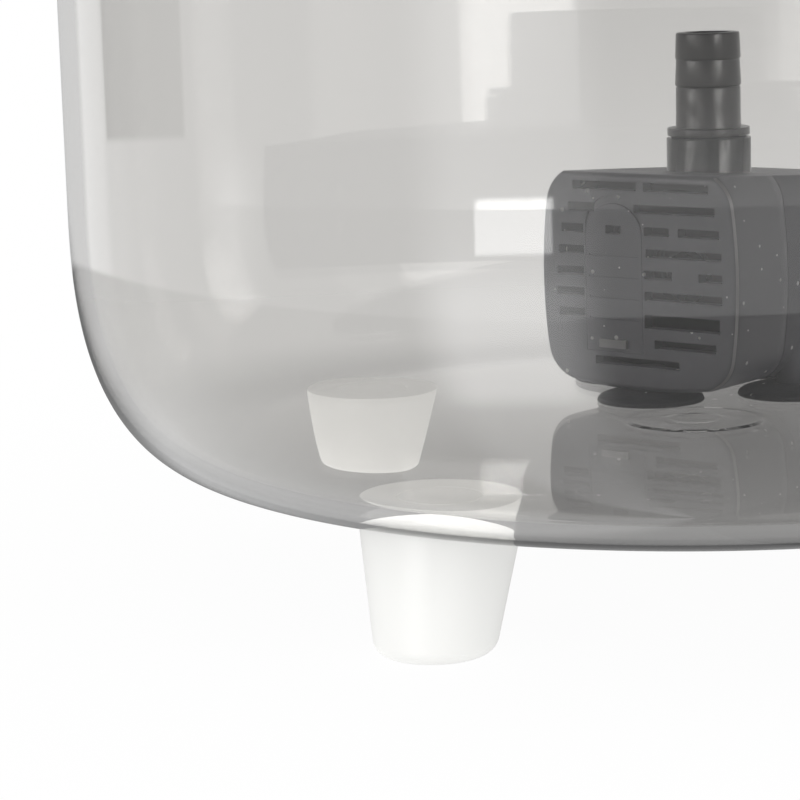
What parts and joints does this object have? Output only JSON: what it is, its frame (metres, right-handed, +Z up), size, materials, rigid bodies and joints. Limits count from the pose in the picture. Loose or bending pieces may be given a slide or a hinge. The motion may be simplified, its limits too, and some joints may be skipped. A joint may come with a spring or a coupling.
{
  "type": "pet water fountain",
  "caption": "Round clear water tank on splayed feet with a submersible pump on suction cups, a drop-in drinking tray, a filter cartridge and a swivelling gooseneck spout.",
  "frame": {"origin": "on the ground, under the tank's axis", "axes": "+Z up; -Y is the drinking side, with the filter; +Y is the spout's and the cable notch's side"},
  "size_m": [0.1944, 0.1943, 0.1748],
  "materials": {
    "smoke_clear_plastic": "polished, clear smoke grey",
    "white_satin_plastic": "satin",
    "charcoal_plastic": "fine satin",
    "black_gloss_plastic": "glossy",
    "black_rubber": "soft matt",
    "white_acetal": "moulded",
    "ferrite": "ground",
    "shaft_ceramic": "polished",
    "core_steel": "stamped sheets",
    "bobbin_plastic": "moulded",
    "copper_winding": "enamelled wire",
    "white_gloss_plastic": "gloss",
    "filter_foam": "open foam",
    "clear_pipe_plastic": "polished, clear"
  },
  "bodies": {
    "tank_and_pump": {"tank": "smoke_clear_plastic", "foot_front_left": "white_satin_plastic", "foot_rear_left": "white_satin_plastic", "foot_rear_right": "white_satin_plastic", "foot_front_right": "white_satin_plastic", "pump_housing": "charcoal_plastic", "nozzle": "black_gloss_plastic", "nozzle_seal": "black_rubber", "volute_cover": "charcoal_plastic", "rotor_shaft": "shaft_ceramic", "bush_front": "black_rubber", "bush_rear": "black_rubber", "stator_core": "core_steel", "coil_bobbin": "bobbin_plastic", "stator_coil": "copper_winding", "rear_cover": "charcoal_plastic", "cable_gland": "black_rubber", "cup_left": "black_rubber", "cup_right": "black_rubber", "cup_rear": "black_rubber"},
    "cover": {"intake_cover": "charcoal_plastic", "cup_front": "black_rubber"},
    "shutter": {"flow_slider": "charcoal_plastic"},
    "rotor": {"impeller": "white_acetal", "rotor_magnet": "ferrite"},
    "tray": {"lid_tray": "white_gloss_plastic"},
    "filter": {"filter_grate": "white_gloss_plastic", "filter_pad": "filter_foam", "filter_basket": "white_gloss_plastic"},
    "swivel_spout": {"spout": "white_gloss_plastic", "spout_seal": "black_rubber"},
    "riser_pipe": {"riser": "clear_pipe_plastic"}
  },
  "joints": [
    {"name": "lid_lift", "type": "slide", "parent": "tank_and_pump", "child": "tray", "axis": [0, 0, 1], "range_m": [0, 0.04]},
    {"name": "filter_lift", "type": "slide", "parent": "tray", "child": "filter", "axis": [0, 0, 1], "range_m": [0, 0.025]},
    {"name": "spout_swivel", "type": "hinge", "parent": "tray", "child": "swivel_spout", "pos_m": [0, 0.0325, 0.14], "axis": [0, 0, 1], "range_deg": [-75, 75]},
    {"name": "riser_slide", "type": "slide", "parent": "swivel_spout", "child": "riser_pipe", "axis": [0, 0, 1], "range_m": [-0.0266, 0]},
    {"name": "cover_pull", "type": "slide", "parent": "tank_and_pump", "child": "cover", "axis": [-0.4802, -0.8771, 0], "range_m": [0, 0.012]},
    {"name": "flow_adjust", "type": "slide", "parent": "cover", "child": "shutter", "axis": [0, 0, 1], "range_m": [0, 0.0014]},
    {"name": "impeller_spin", "type": "hinge", "parent": "tank_and_pump", "child": "rotor", "pos_m": [0, 0.0325, 0.04185], "axis": [0.4802, 0.8771, 0], "continuous": true}
  ]
}
